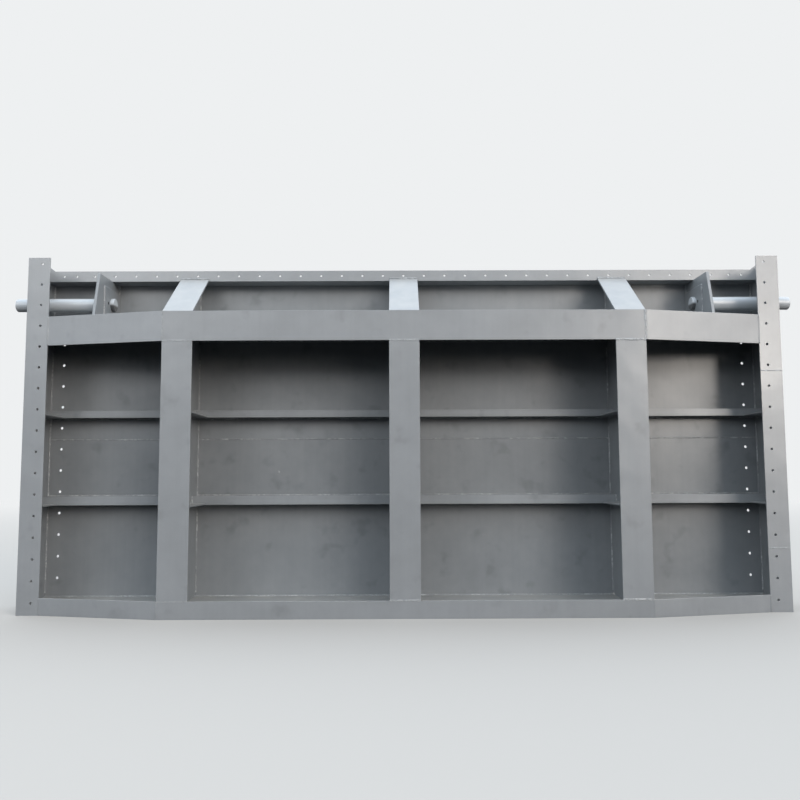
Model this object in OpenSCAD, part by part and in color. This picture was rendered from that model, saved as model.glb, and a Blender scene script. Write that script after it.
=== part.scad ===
// Welded steel gate leaf: a flat skin plate carried by two horizontal beams,
// three vertical girders and two end girders, with lifting shafts at both ends.
// +X runs along the leaf, +Z is up, and the skin faces +Y.

/* [Leaf] */
// Width of the leaf over its side strips
leaf_w = 5400; // [4800:50:6200]
// Height of the leaf from sill edge to the top of the side strips
leaf_h = 2530; // [2480:10:2800]
// Depth from the front of the flanges to the back of the skin
leaf_d = 640; // [600:10:760]

/* [Skin] */
// Thickness of the skin plate
skin_t = 10; // [6:1:16]
// Height of the butt weld between the two skin plates
skin_seam_z = 1235; // [1000:5:1300]
// Diameter of the side seal bolt holes in the skin
skin_hole_d = 20; // [12:1:26]
// Pitch of the side seal bolt holes in the skin
skin_hole_pitch = 160; // [120:5:220]
// Height of the lowest side seal bolt hole
skin_hole_z = 45; // [25:5:80]
// Distance of the side seal bolt holes from the edge of the leaf
skin_hole_edge = 100; // [60:5:120]

/* [Vertical girders] */
// Distance between neighbouring vertical girders
girder_pitch = 1570; // [1300:10:1700]
// Width of the flange on a vertical girder
girder_flange_w = 210; // [140:5:260]
// Thickness of all front flanges
flange_t = 14; // [8:1:24]
// Thickness of the web of a vertical girder
girder_web_t = 12; // [8:1:20]
// Radius of the copes that clear the welds at the corners of a girder web
cope_r = 30; // [15:1:40]

/* [Horizontal beams] */
// Height of the front flange of the lower beam
lower_flange_h = 120; // [90:5:180]
// Height of the front flange of the upper beam
upper_flange_h = 210; // [140:5:240]
// Distance of the web of the upper beam below the top of the leaf
upper_beam_drop = 535; // [470:5:650]
// Thickness of the webs of the horizontal beams
beam_web_t = 10; // [6:1:16]

/* [End girders] */
// Width of the side strip, the front flange of an end girder
strip_w = 155; // [130:5:200]
// Thickness of the side strip
strip_t = 12; // [8:1:20]
// Distance of the side strip behind the front of the leaf
strip_back = 195; // [140:5:240]
// Thickness of the web of an end girder
end_web_t = 12; // [8:1:20]
// Diameter of the bolt holes in the side strips
strip_hole_d = 18; // [12:1:26]
// Pitch of the bolt holes in the side strips
strip_hole_pitch = 150; // [120:5:200]
// Height of the lowest bolt hole in the side strips
strip_hole_z = 84; // [30:2:110]
// Distance of the bolt holes from the outer edge of the side strips
strip_hole_edge = 100; // [60:2:110]
// Least distance of a bolt hole from the top of the side strips
strip_hole_top = 30; // [20:1:60]

/* [Top plates] */
// Distance of the underside of the top plates below the top of the leaf
top_plate_drop = 110; // [90:5:150]
// Height of the seal plate, the upright plate along the top
seal_plate_h = 79; // [60:1:85]
// Thickness of both top plates
top_plate_t = 10; // [6:1:16]
// Distance of the seal plate behind the front of the leaf
seal_plate_back = 475; // [440:5:500]
// Diameter of the top seal bolt holes
top_hole_d = 16; // [12:1:24]
// Pitch of the top seal bolt holes
top_hole_pitch = 155; // [120:5:200]
// Pitch of the last two top seal bolt holes at each end
top_end_pitch = 95; // [60:5:140]
// Distance of the last top seal bolt hole from the slope up to the raised end
top_end_gap = 69; // [40:1:100]
// Length of the raised part at each end of the seal plate
raised_end_l = 24; // [16:1:150]
// Length of the slope up to each raised end
raised_slope_l = 40; // [20:5:80]

/* [Ribs] */
// Height of the underside of the lower ribs
lower_rib_z = 747; // [600:1:900]
// Depth of the lower rib channel from front to back
lower_rib_d = 160; // [120:2:200]
// Width of the flanges of the lower rib channel
lower_rib_h = 65; // [50:1:80]
// Thickness of the web of the lower rib channel
lower_rib_web_t = 8.5; // [6:0.5:11]
// Mean thickness of the flanges of the lower rib channel
lower_rib_flange_t = 10; // [8:0.5:12]
// Height of the underside of the upper ribs
upper_rib_z = 1393; // [1330:1:1550]
// Depth of the upper rib channel from front to back
upper_rib_d = 126; // [100:2:200]
// Width of the flanges of the upper rib channel
upper_rib_h = 53; // [48:1:80]
// Thickness of the web of the upper rib channel
upper_rib_web_t = 5.5; // [4.5:0.5:8]
// Mean thickness of the flanges of the upper rib channel
upper_rib_flange_t = 9; // [7:0.5:11]
// Taper of the inner faces of the channel flanges, as rise over run
channel_taper = 0.1; // [0.02:0.01:0.12]
// Thickness of the stiffener plates in the girders
stiffener_t = 9; // [5:1:14]
// Corner cut off each stiffener plate to clear the welds
stiffener_snip = 25; // [10:1:35]

/* [Lifting shafts] */
// Distance of the middle of a lug plate from the edge of the leaf
lug_inset = 500; // [400:10:560]
// Thickness of a lug plate
lug_t = 20; // [12:1:30]
// Distance of the top front corner of a lug plate behind the front of the leaf
lug_top_back = 220; // [200:5:300]
// Thickness of the cheek plate on the inner side of a lug plate
cheek_t = 12; // [8:1:20]
// Distance of the front edge of the cheek plate behind the front of the leaf
cheek_back = 304; // [290:2:340]
// Height of the cheek plate above the upper beam web
cheek_h = 345; // [320:5:380]
// Diameter of a lifting shaft
shaft_d = 100; // [60:2:120]
// Clearance between a lifting shaft and the hole it is welded into
shaft_clear = 0.3; // [0.1:0.1:1]
// Distance of the shaft axis behind the front of the leaf
shaft_back = 450; // [420:5:480]
// Height of the shaft axis above the web of the upper beam
shaft_rise = 238; // [180:1:270]
// Length of shaft that stands out past the edge of the leaf
shaft_out = 185; // [60:5:260]
// Length of shaft that stands in past the cheek plate
shaft_in = 24; // [10:1:60]
// Length of full-size shaft between the edge of the leaf and the journal
journal_start = 5; // [2:1:20]
// Depth by which the journal is turned down on the free end of a shaft
journal_step = 2; // [1:0.5:6]
// Chamfer on both ends of a shaft
shaft_chamfer = 5; // [1:1:10]
// Diameter of the locking pin hole beside the shaft
lock_hole_d = 20; // [10:1:24]
// Distance of the locking pin hole in front of the shaft axis
lock_hole_back = 83; // [76:1:100]

/* [Hidden] */
$fn = 32;
arc_steps = 5;
// Holes are cut this far past both faces of their plate
overcut = 1;

// Finish colours of the painted leaf, light on the flanges and darker inside
flange_grey = "#8d9498";
web_grey = "#767d82";
skin_grey = "#6a7075";
shaft_grey = "#9aa1a5";

// Faces that neighbouring pieces share, measured back from the front of the leaf
half_w = leaf_w / 2;
skin_front = leaf_d - skin_t;
strip_rear = strip_back + strip_t;
strip_inner_x = half_w - strip_w;
end_web_inner_x = half_w - end_web_t;

// Heights that neighbouring pieces share
top_plate_z = leaf_h - top_plate_drop;
upper_beam_z = leaf_h - upper_beam_drop;
shaft_z = upper_beam_z + shaft_rise;
lower_beam_z = lower_flange_h / 2;
lower_web_top = lower_beam_z + beam_web_t / 2;
upper_web_bottom = upper_beam_z - beam_web_t / 2;
upper_web_top = upper_beam_z + beam_web_t / 2;
upper_flange_bottom = upper_beam_z - upper_flange_h / 2;
upper_flange_top = upper_beam_z + upper_flange_h / 2;
skin_top = top_plate_z + top_plate_t;

// The lug plates stand between the outer girders and the ends
lug_x = half_w - lug_inset;

// The beam flanges bend back from the outer edge of the outer girders to the side strips
bend_x = girder_pitch + girder_flange_w / 2;
bend_slope = strip_back / (strip_inner_x - bend_x);
bent_t = flange_t * sqrt(1 + pow(bend_slope, 2));
function bent_rear(x) = bent_t + (x - bend_x) * bend_slope;

// The top flange of a vertical girder slopes so that its lower face meets the seal plate's lower edge
top_rise = top_plate_z - upper_flange_top;
top_slope = (seal_plate_back * top_rise
    + flange_t * sqrt(pow(seal_plate_back, 2) + pow(top_rise, 2) - pow(flange_t, 2)))
    / (pow(seal_plate_back, 2) - pow(flange_t, 2));
top_flange_drop = flange_t * sqrt(1 + pow(top_slope, 2));
top_flange_foot = top_flange_drop / top_slope;

// Moves the leaf from its front face so that the origin lies in the middle of its depth
module in_frame() translate([0, -leaf_d / 2, 0]) children();

// A plate drawn in plan and given its thickness upwards from a height
module plan_plate(z, t) translate([0, 0, z]) linear_extrude(t) children();

// A plate drawn from the side, with depth and height, from x0 to x1
module side_plate(x0, x1)
    translate([x0, 0, 0]) rotate([90, 0, 90]) linear_extrude(x1 - x0) children();

// A plate drawn from the front, with width and height, from y0 to y1
module front_plate(y0, y1)
    translate([0, y1, 0]) rotate([90, 0, 0]) linear_extrude(y1 - y0) children();

// A block between two corners
module block(a, b) translate(a) cube(b - a);

// The skin between two heights, with the side seal holes that fall inside them
module skin_plate(z0, z1) {
    hole_n = floor((skin_top - skin_hole_z - skin_hole_d) / skin_hole_pitch) + 1;
    hole_x = half_w - skin_hole_edge;
    color(skin_grey) in_frame() difference() {
        block([-half_w, skin_front, z0], [half_w, leaf_d, z1]);
        for (side = [-1, 1], i = [0:hole_n - 1])
            translate([side * hole_x, skin_front - overcut, skin_hole_z + i * skin_hole_pitch])
                rotate([-90, 0, 0]) cylinder(d = skin_hole_d, h = skin_t + 2 * overcut);
    }
}

// The web of a horizontal beam: full depth in the middle, tapered towards both ends
module beam_web(z) {
    end_front = max(strip_rear, bent_rear(strip_inner_x));
    right = [[bend_x, flange_t], [bend_x, bent_rear(bend_x)], [strip_inner_x, bent_rear(strip_inner_x)],
        [strip_inner_x, end_front], [end_web_inner_x, end_front], [end_web_inner_x, skin_front]];
    left = [for (i = [len(right) - 1:-1:0]) [-right[i][0], right[i][1]]];
    color(web_grey) in_frame() plan_plate(z - beam_web_t / 2, beam_web_t) polygon(concat(right, left));
}

// The straight middle part of a beam flange
module flange_centre(z0, z1)
    color(flange_grey) in_frame() block([-bend_x, 0, z0], [bend_x, flange_t, z1]);

// The bent-back end of a beam flange
module flange_end(side, z0, z1)
    color(flange_grey) in_frame() mirror([side < 0 ? 1 : 0, 0, 0])
        plan_plate(z0, z1 - z0)
            polygon([[bend_x, 0], [strip_inner_x, strip_back],
                [strip_inner_x, bent_rear(strip_inner_x)], [bend_x, bent_t]]);

// A web panel between two depths and two heights, coped at the corners named by depth and height
module coped_panel(y0, y1, z0, z1, corners) difference() {
    translate([y0, z0]) square([y1 - y0, z1 - z0]);
    for (corner = corners) translate(corner) circle(cope_r);
}

// The web of a vertical girder, cut where the beam webs pass through it
module girder_web(x) {
    foot_top = lower_web_top - beam_web_t;
    color(web_grey) in_frame() side_plate(x - girder_web_t / 2, x + girder_web_t / 2) {
        coped_panel(flange_t, skin_front, 0, foot_top, [[flange_t, foot_top], [skin_front, foot_top]]);
        coped_panel(flange_t, skin_front, lower_web_top, upper_web_bottom,
            [for (y = [flange_t, skin_front], z = [lower_web_top, upper_web_bottom]) [y, z]]);
        difference() {
            polygon([[flange_t, upper_web_top], [flange_t, upper_flange_top],
                [max(flange_t, top_flange_foot), upper_flange_top],
                [seal_plate_back, top_plate_z], [skin_front, top_plate_z], [skin_front, upper_web_top]]);
            for (y = [flange_t, skin_front]) translate([y, upper_web_top]) circle(cope_r);
        }
    }
}

// The upright flange of a vertical girder, between the beam flanges
module girder_flange(x)
    color(flange_grey) in_frame()
        block([x - girder_flange_w / 2, 0, lower_flange_h],
            [x + girder_flange_w / 2, flange_t, upper_flange_bottom]);

// The sloping flange on the tapered top of a vertical girder
module girder_top_flange(x)
    color(flange_grey) in_frame()
        side_plate(x - girder_flange_w / 2, x + girder_flange_w / 2)
            polygon([[0, upper_flange_top], [seal_plate_back, top_plate_z + top_flange_drop],
                [seal_plate_back, top_plate_z], [top_flange_foot, upper_flange_top]]);

// The web that closes the end of the leaf, bored for the lifting shaft
module end_web(side) {
    color(web_grey) in_frame() mirror([side < 0 ? 1 : 0, 0, 0]) difference() {
        block([end_web_inner_x, strip_rear, 0], [half_w, skin_front, leaf_h]);
        shaft_bore(end_web_inner_x, half_w);
    }
}

// The side strip with its row of bolt holes
module side_strip(side) {
    hole_n = floor((leaf_h - strip_hole_top - strip_hole_z) / strip_hole_pitch) + 1;
    color(flange_grey) in_frame() mirror([side < 0 ? 1 : 0, 0, 0]) difference() {
        block([strip_inner_x, strip_back, 0], [half_w, strip_rear, leaf_h]);
        for (i = [0:hole_n - 1])
            translate([half_w - strip_hole_edge, strip_back - overcut, strip_hole_z + i * strip_hole_pitch])
                rotate([-90, 0, 0]) cylinder(d = strip_hole_d, h = strip_t + 2 * overcut);
    }
}

// The upright plate along the top that carries the top seal, its ends raised to the top of the leaf
module top_seal_plate() {
    raised_x = end_web_inner_x - raised_end_l;
    level_x = raised_x - raised_slope_l;
    level_z = top_plate_z + seal_plate_h;
    last_x = level_x - top_end_gap;
    next_x = last_x - top_end_pitch;
    hole_n = floor(next_x / top_hole_pitch - 0.5);
    row_x = [for (i = [-hole_n:hole_n]) i * top_hole_pitch];
    color(flange_grey) in_frame() difference() {
        front_plate(seal_plate_back, seal_plate_back + top_plate_t)
            polygon([[-end_web_inner_x, top_plate_z], [end_web_inner_x, top_plate_z],
                [end_web_inner_x, leaf_h], [raised_x, leaf_h], [level_x, level_z],
                [-level_x, level_z], [-raised_x, leaf_h], [-end_web_inner_x, leaf_h]]);
        for (x = concat([-last_x, -next_x], row_x, [next_x, last_x]))
            translate([x, seal_plate_back - overcut, top_plate_z + seal_plate_h / 2])
                rotate([-90, 0, 0]) cylinder(d = top_hole_d, h = top_plate_t + 2 * overcut);
    }
}

// The level plate that closes the top of the leaf between the seal plate and the skin
module top_cover_plate()
    color(flange_grey) in_frame()
        block([-end_web_inner_x, seal_plate_back + top_plate_t, top_plate_z],
            [end_web_inner_x, skin_front, skin_top]);

// Points along the arc of radius r that rounds the corner p between its neighbours a and b
function unit(v) = v / norm(v);
function round_corner(a, p, b, r) =
    let (u = unit(a - p), v = unit(b - p), half = acos(u * v) / 2,
        c = p + unit(u + v) * r / sin(half),
        from = p + u * r / tan(half) - c, to = p + v * r / tan(half) - c,
        start = atan2(from[1], from[0]), turn = atan2(to[1], to[0]) - start,
        sweep = turn > 180 ? turn - 360 : turn < -180 ? turn + 360 : turn)
    [for (i = [0:arc_steps]) let (at = start + sweep * i / arc_steps) c + r * [cos(at), sin(at)]];

// Half the outline of a rolled channel: its flange tapers and is rounded at its toe and its root.
// It runs from the middle of the section to its outer corner, with the web at the bottom.
function half_channel(d, h, web_t, mean_t) =
    let (lean = channel_taper * (h - web_t) / 2,
        toe = [d / 2 - mean_t + lean, h], root = [d / 2 - mean_t - lean, web_t])
    concat([[0, web_t]], round_corner([0, web_t], root, toe, mean_t),
        round_corner(root, toe, [d / 2, h], mean_t / 2), [[d / 2, h], [d / 2, 0]]);

// A rib: a rolled channel on the skin, flanges up, between two webs
module rib(x0, x1, z, d, h, web_t, mean_t) {
    right = half_channel(d, h, web_t, mean_t);
    left = [for (i = [len(right) - 1:-1:1]) [-right[i][0], right[i][1]]];
    color(web_grey) in_frame() side_plate(x0, x1)
        translate([skin_front - d / 2, z]) polygon(concat(right, left));
}

// One rib in each bay; the bays are counted from the left
function bay_start(i) = i == 0 ? -end_web_inner_x : (i - 2) * girder_pitch + girder_web_t / 2;
function bay_end(i) = i == 3 ? end_web_inner_x : (i - 1) * girder_pitch - girder_web_t / 2;
module lower_rib(i)
    rib(bay_start(i), bay_end(i), lower_rib_z, lower_rib_d, lower_rib_h, lower_rib_web_t, lower_rib_flange_t);
module upper_rib(i)
    rib(bay_start(i), bay_end(i), upper_rib_z, upper_rib_d, upper_rib_h, upper_rib_web_t, upper_rib_flange_t);

// A level stiffener plate from a web at web_x to a flange edge at edge_x, between two depths.
// Its corner between the web and the front plate is snipped to clear their weld.
module stiffener(web_x, edge_x, y0, y1, z) {
    snip_x = web_x + (edge_x > web_x ? stiffener_snip : -stiffener_snip);
    plan_plate(z, stiffener_t)
        polygon([[web_x, y0 + stiffener_snip], [snip_x, y0], [edge_x, y0], [edge_x, y1], [web_x, y1]]);
}

// Heights and front faces of the ribs, which the stiffeners meet
rib_levels = [[lower_rib_z, skin_front - lower_rib_d], [upper_rib_z, skin_front - upper_rib_d]];

// Stiffeners in a vertical girder, from its flange to the ribs on both sides of its web
module girder_stiffeners(x)
    color(web_grey) in_frame()
        for (side = [-1, 1], level = rib_levels)
            stiffener(x + side * girder_web_t / 2, x + side * girder_flange_w / 2,
                flange_t, level[1], level[0]);

// Stiffeners in an end girder, from its strip to the ribs
module end_stiffeners(side)
    color(web_grey) in_frame()
        for (level = rib_levels)
            stiffener(side * end_web_inner_x, side * strip_inner_x, strip_rear, level[1], level[0]);

// The room for a lifting shaft between two places along the leaf
module shaft_bore(x0, x1)
    translate([x0 - overcut, shaft_back, shaft_z]) rotate([0, 90, 0])
        cylinder(d = shaft_d + 2 * shaft_clear, h = x1 - x0 + 2 * overcut);

// The hole for the locking pin between two places along the leaf
module lock_bore(x0, x1)
    translate([x0 - overcut, shaft_back - lock_hole_back, shaft_z]) rotate([0, 90, 0])
        cylinder(d = lock_hole_d, h = x1 - x0 + 2 * overcut);

// The plate that carries the inner end of a lifting shaft, standing on the upper beam web.
// Its front edge fits the back of the bent flange and then slopes up to the top plates.
module lug_plate(side) {
    x0 = lug_x - lug_t / 2;
    x1 = lug_x + lug_t / 2;
    color(web_grey) in_frame() mirror([side < 0 ? 1 : 0, 0, 0]) difference() {
        side_plate(x0, x1) difference() {
            polygon([[bent_rear(x0), upper_web_top], [bent_rear(x0), upper_flange_top],
                [lug_top_back, top_plate_z], [skin_front, top_plate_z], [skin_front, upper_web_top]]);
            translate([skin_front, upper_web_top]) circle(cope_r);
        }
        plan_plate(0, leaf_h)
            polygon([[bend_x, 0], [strip_inner_x, 0],
                [strip_inner_x, bent_rear(strip_inner_x)], [bend_x, bent_t]]);
        shaft_bore(x0, x1);
        lock_bore(x0, x1);
    }
}

// The cheek plate that thickens a lug plate round its shaft
module lug_cheek(side) {
    x1 = lug_x - lug_t / 2;
    x0 = x1 - cheek_t;
    color(web_grey) in_frame() mirror([side < 0 ? 1 : 0, 0, 0]) difference() {
        block([x0, cheek_back, upper_web_top], [x1, skin_front, upper_web_top + cheek_h]);
        shaft_bore(x0, x1);
        lock_bore(x0, x1);
    }
}

// A lifting shaft through the lug and the end web, its free end turned down to a journal
module lifting_shaft(side) {
    x0 = lug_x - lug_t / 2 - cheek_t - shaft_in;
    step_x = half_w + journal_start - x0;
    end_x = half_w + shaft_out - x0;
    r = shaft_d / 2;
    journal_r = r - journal_step;
    c = shaft_chamfer;
    color(shaft_grey) in_frame() mirror([side < 0 ? 1 : 0, 0, 0])
        translate([x0, shaft_back, shaft_z]) rotate([0, 90, 0])
            rotate_extrude() polygon([[0, 0], [r - c, 0], [r, c], [r, step_x],
                [journal_r, step_x], [journal_r, end_x - c], [journal_r - c, end_x], [0, end_x]]);
}

skin_plate(0, skin_seam_z);  // skin_lower_plate
skin_plate(skin_seam_z, skin_top);  // skin_upper_plate
beam_web(lower_beam_z);  // lower_beam_web
beam_web(upper_beam_z);  // upper_beam_web
flange_centre(0, lower_flange_h);  // lower_flange_centre
flange_end(-1, 0, lower_flange_h);  // lower_flange_left
flange_end(1, 0, lower_flange_h);  // lower_flange_right
flange_centre(upper_flange_bottom, upper_flange_top);  // upper_flange_centre
flange_end(-1, upper_flange_bottom, upper_flange_top);  // upper_flange_left
flange_end(1, upper_flange_bottom, upper_flange_top);  // upper_flange_right
girder_web(-girder_pitch);  // left_girder_web
girder_web(0);  // centre_girder_web
girder_web(girder_pitch);  // right_girder_web
girder_flange(-girder_pitch);  // left_girder_flange
girder_flange(0);  // centre_girder_flange
girder_flange(girder_pitch);  // right_girder_flange
girder_top_flange(-girder_pitch);  // left_girder_top_flange
girder_top_flange(0);  // centre_girder_top_flange
girder_top_flange(girder_pitch);  // right_girder_top_flange
end_web(-1);  // left_end_web
end_web(1);  // right_end_web
side_strip(-1);  // left_side_strip
side_strip(1);  // right_side_strip
top_seal_plate();
top_cover_plate();
lower_rib(0);  // lower_rib_far_left
lower_rib(1);  // lower_rib_mid_left
lower_rib(2);  // lower_rib_mid_right
lower_rib(3);  // lower_rib_far_right
upper_rib(0);  // upper_rib_far_left
upper_rib(1);  // upper_rib_mid_left
upper_rib(2);  // upper_rib_mid_right
upper_rib(3);  // upper_rib_far_right
girder_stiffeners(-girder_pitch);  // left_girder_stiffeners
girder_stiffeners(0);  // centre_girder_stiffeners
girder_stiffeners(girder_pitch);  // right_girder_stiffeners
end_stiffeners(-1);  // left_end_stiffeners
end_stiffeners(1);  // right_end_stiffeners
lug_plate(-1);  // left_lug_plate
lug_plate(1);  // right_lug_plate
lug_cheek(-1);  // left_lug_cheek
lug_cheek(1);  // right_lug_cheek
lifting_shaft(-1);  // left_lifting_shaft
lifting_shaft(1);  // right_lifting_shaft
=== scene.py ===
# %% [markdown]
# This scene dresses the welded steel leaf of a sluice gate: a flat skin plate carried by two level beams,
# three upright girders and two end girders, sprayed all over with one grey enamel. The steelwork comes
# packed from the CAD model at its real size, so this script keeps its shapes and adds what makes it look
# made: paint, dust, rounded plate edges and the weld beads that hold the plates together.

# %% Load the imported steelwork
import math
import bpy
from mathutils import Matrix, Vector


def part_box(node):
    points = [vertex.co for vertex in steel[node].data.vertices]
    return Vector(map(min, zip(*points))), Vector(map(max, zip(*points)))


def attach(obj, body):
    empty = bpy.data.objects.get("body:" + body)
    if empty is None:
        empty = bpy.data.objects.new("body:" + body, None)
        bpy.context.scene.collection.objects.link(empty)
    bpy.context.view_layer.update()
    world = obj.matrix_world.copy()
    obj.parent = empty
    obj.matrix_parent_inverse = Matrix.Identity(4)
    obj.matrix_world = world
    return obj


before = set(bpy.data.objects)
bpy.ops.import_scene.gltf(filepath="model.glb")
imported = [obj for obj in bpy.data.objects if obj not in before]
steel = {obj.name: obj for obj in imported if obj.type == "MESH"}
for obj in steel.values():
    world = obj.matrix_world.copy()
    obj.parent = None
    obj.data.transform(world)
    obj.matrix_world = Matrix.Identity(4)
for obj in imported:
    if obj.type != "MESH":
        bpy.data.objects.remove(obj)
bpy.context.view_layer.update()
MM = 0.001

# %% [markdown]
# The picture was taken standing in front of the leaf, about six metres off, with the eye below its middle
# height and the camera tilted a little upwards. The lens is a normal one: a 36 mm sensor with a focal
# length just under 37 mm. The camera is set from its place and three small angles, because a camera that
# is aimed at a point can't have the slight lean that a hand-held one has.

# %% Camera
EYE = Vector((-0.0535, -5.9013, 0.9684))
TURN_RIGHT = 0.004
TILT_UP = 0.0903
LEAN = -0.004
SENSOR_WIDTH = 36
FOCAL_LENGTH = 36.74
FARTHEST_SEEN = 200


def hand_held_camera(eye, turn, tilt, lean):
    """A camera at a place, turned right, tilted up and leant by angles in radians."""
    bpy.ops.object.camera_add(location=eye)
    camera = bpy.context.object
    camera.data.sensor_width = SENSOR_WIDTH
    camera.data.lens = FOCAL_LENGTH
    camera.data.clip_end = FARTHEST_SEEN
    upright = Matrix.Rotation(-turn, 4, "Z") @ Matrix.Rotation(math.pi / 2 + tilt, 4, "X")
    camera.matrix_world = Matrix.Translation(eye) @ upright @ Matrix.Rotation(lean, 4, "Z")
    return camera


bpy.context.scene.camera = hand_held_camera(EYE, TURN_RIGHT, TILT_UP, LEAN)
bpy.context.scene.view_settings.view_transform = "Standard"
print("camera", tuple(round(v, 3) for v in bpy.context.scene.camera.matrix_world.translation))

# %% [markdown]
# Two small helpers carry all the materials. Colours are written as sRGB hex values, the way a paint chart
# gives them, while the renderer works in linear light, so one function turns one into the other. The
# second function adds a node, sets it up and wires its inputs in a single call, which keeps each finish
# short enough to read from top to bottom.

# %% Colour and node helpers
PLAIN_GREY = "#959b9f"


def linear(hex_colour):
    """An sRGB hex colour such as #8d9498 as linear red, green, blue and alpha."""
    channels = [int(hex_colour[i:i + 2], 16) / 255 for i in (1, 3, 5)]
    return tuple(c / 12.92 if c <= 0.04045 else ((c + 0.055) / 1.055) ** 2.4 for c in channels) + (1.0,)


def add(tree, kind, inputs=None, **settings):
    """Adds a node with its settings. An input takes a value, a socket, or a node for its first output."""
    node = tree.nodes.new("ShaderNode" + kind)
    for name, value in settings.items():
        setattr(node, name, value)
    for name, value in (inputs or {}).items():
        if isinstance(value, bpy.types.Node):
            value = value.outputs[0]
        if isinstance(value, bpy.types.NodeSocket):
            tree.links.new(value, node.inputs[name])
        else:
            node.inputs[name].default_value = value
    return node


print("the grey", PLAIN_GREY, "in linear light is", tuple(round(c, 3) for c in linear(PLAIN_GREY)))

# %% [markdown]
# Steel painted in a half-gloss enamel is lit mostly by what stands round it, so the surroundings matter as
# much as the lamps. Here the sky is dark at the horizon and bright from some twelve degrees above it. That
# is why the plates that face upwards look so much lighter than the upright ones, and why upright plates
# above the eye are lighter than those below it. The sun stands behind the clouds on the right and makes a
# broad glow there, and paler clouds glow on the left.
#
# Each step of the sky is a height, from 0 at the horizon to 1 overhead, with a tint and a strength, and the
# sky blends softly from one step to the next. A glow is placed by its turn to the right and its rise in
# degrees, and fades between an inner and an outer angle. What the camera sees is a plain pale backdrop.

# %% Sky and backdrop
BACKDROP = "#eef0f1"
SKY_STEPS = [
    (0.04, "#3c3e40", 0.3),
    (0.14, "#a0a2a3", 0.38),
    (0.23, "#e6e8e9", 2.3),
    (0.3, "#e6e8ea", 2.6),
    (0.42, "#dfe6ec", 1.6),
    (0.7, "#d9e4ee", 1.7),
    (0.9, "#d3e2f2", 2.7),
]
GLOWS = {
    "hidden sun": {"turn": 35, "rise": 17, "inner": 6, "outer": 24, "strength": 5.8, "tint": "#fdf3ea"},
    "pale clouds": {"turn": -36, "rise": 13, "inner": 6, "outer": 22, "strength": 1.2, "tint": "#dde8f6"},
}


def glow_strength(tree, direction, turn, rise, inner, outer, strength):
    """How strongly a glow shines from each direction."""
    turn, rise = math.radians(turn), math.radians(rise)
    middle = (math.sin(turn) * math.cos(rise), -math.cos(turn) * math.cos(rise), math.sin(rise))
    nearness = add(tree, "VectorMath", {0: direction, 1: middle}, operation="DOT_PRODUCT").outputs["Value"]
    return add(tree, "MapRange", {"Value": nearness, "From Min": math.cos(math.radians(outer)),
        "From Max": math.cos(math.radians(inner)), "To Max": strength}, interpolation_type="SMOOTHSTEP")


def sky(steps, glows, backdrop):
    """A world that is dark at the horizon, bright overhead and plain where the camera looks at it."""
    world = bpy.data.worlds.new("overcast sky")
    bpy.context.scene.world = world
    world.use_nodes = True
    tree = world.node_tree
    tree.nodes.clear()
    direction = add(tree, "TexCoord").outputs["Generated"]
    height = add(tree, "SeparateXYZ", {"Vector": direction}).outputs["Z"]
    last, tint, strength = steps[0]
    colour = linear(tint)
    for rise, tint, power in steps[1:]:
        share = add(tree, "MapRange", {"Value": height, "From Min": last, "From Max": rise},
            interpolation_type="SMOOTHSTEP")
        colour = add(tree, "MixRGB", {"Fac": share, "Color1": colour, "Color2": linear(tint)})
        strength = add(tree, "MapRange", {"Value": share, "To Min": strength, "To Max": power})
        last = rise
    lit = add(tree, "Background", {"Color": colour, "Strength": strength})
    for glow in glows.values():
        shape = {name: value for name, value in glow.items() if name != "tint"}
        shining = add(tree, "Background", {"Color": linear(glow["tint"]),
            "Strength": glow_strength(tree, direction, **shape)})
        lit = add(tree, "AddShader", {0: lit, 1: shining})
    seen = add(tree, "Background", {"Color": linear(backdrop), "Strength": 1.0})
    ray = add(tree, "LightPath")
    both = add(tree, "MixShader", {0: ray.outputs["Is Camera Ray"], 1: lit, 2: seen})
    add(tree, "OutputWorld", {"Surface": both})


sky(SKY_STEPS, GLOWS, BACKDROP)
print("sky made in", len(SKY_STEPS), "steps with", len(GLOWS), "glows")

# %% [markdown]
# Two soft lamps help the sky. A small one near the right end sharpens the shadow in the last bay and
# brightens that end. A high one close on the left fills the shadows there. They are lamps of a real size,
# so their shadows have soft edges, and neither shows itself to the camera.

# %% Lamps
LAMPS = {
    "low right lamp": {"place": (4.1, -4.7, 2.3), "aim": (2.4, 0, 1.75), "size": (0.7, 0.7), "spread": 38,
        "power": 1.8, "tint": "#fff6ec"},
    "high left lamp": {"place": (-3.6, -4.4, 3.8), "aim": (-1.0, 0, 1.2), "size": (2.0, 1.6), "spread": 150,
        "power": 15.0, "tint": "#fbfaf8"},
}


def lamp(name, place, aim, size, spread, power, tint):
    """An oblong lamp at a place, aimed at a point, whose light fans out over an angle in degrees."""
    bpy.ops.object.light_add(type="AREA", location=place)
    light = bpy.context.object
    light.name = name
    light.rotation_euler = (Vector(place) - Vector(aim)).to_track_quat("Z", "Y").to_euler()
    light.visible_camera = False
    light.data.shape = "RECTANGLE"
    light.data.size, light.data.size_y = size
    light.data.spread = math.radians(spread)
    light.data.energy = power
    light.data.color = linear(tint)[:3]


for name, settings in LAMPS.items():
    lamp(name, **settings)
    print(name, settings["power"], "watts")

# %% [markdown]
# The leaf stands on a plain floor. Seen by the camera the floor is pale, keeps the shadow of the leaf, and
# far away it takes on the colour of the backdrop, so that no horizon shows. For light that bounces it is
# dark, so that the undersides of the beams keep the deep shade they have on a leaf out of doors.

# %% Floor
FLOOR_RADIUS = 60.0
FADE_FROM = 7.0
FADE_TO = 26.0
PALE_FLOOR = "#b4afa9"
DARK_FLOOR = "#262626"


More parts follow.
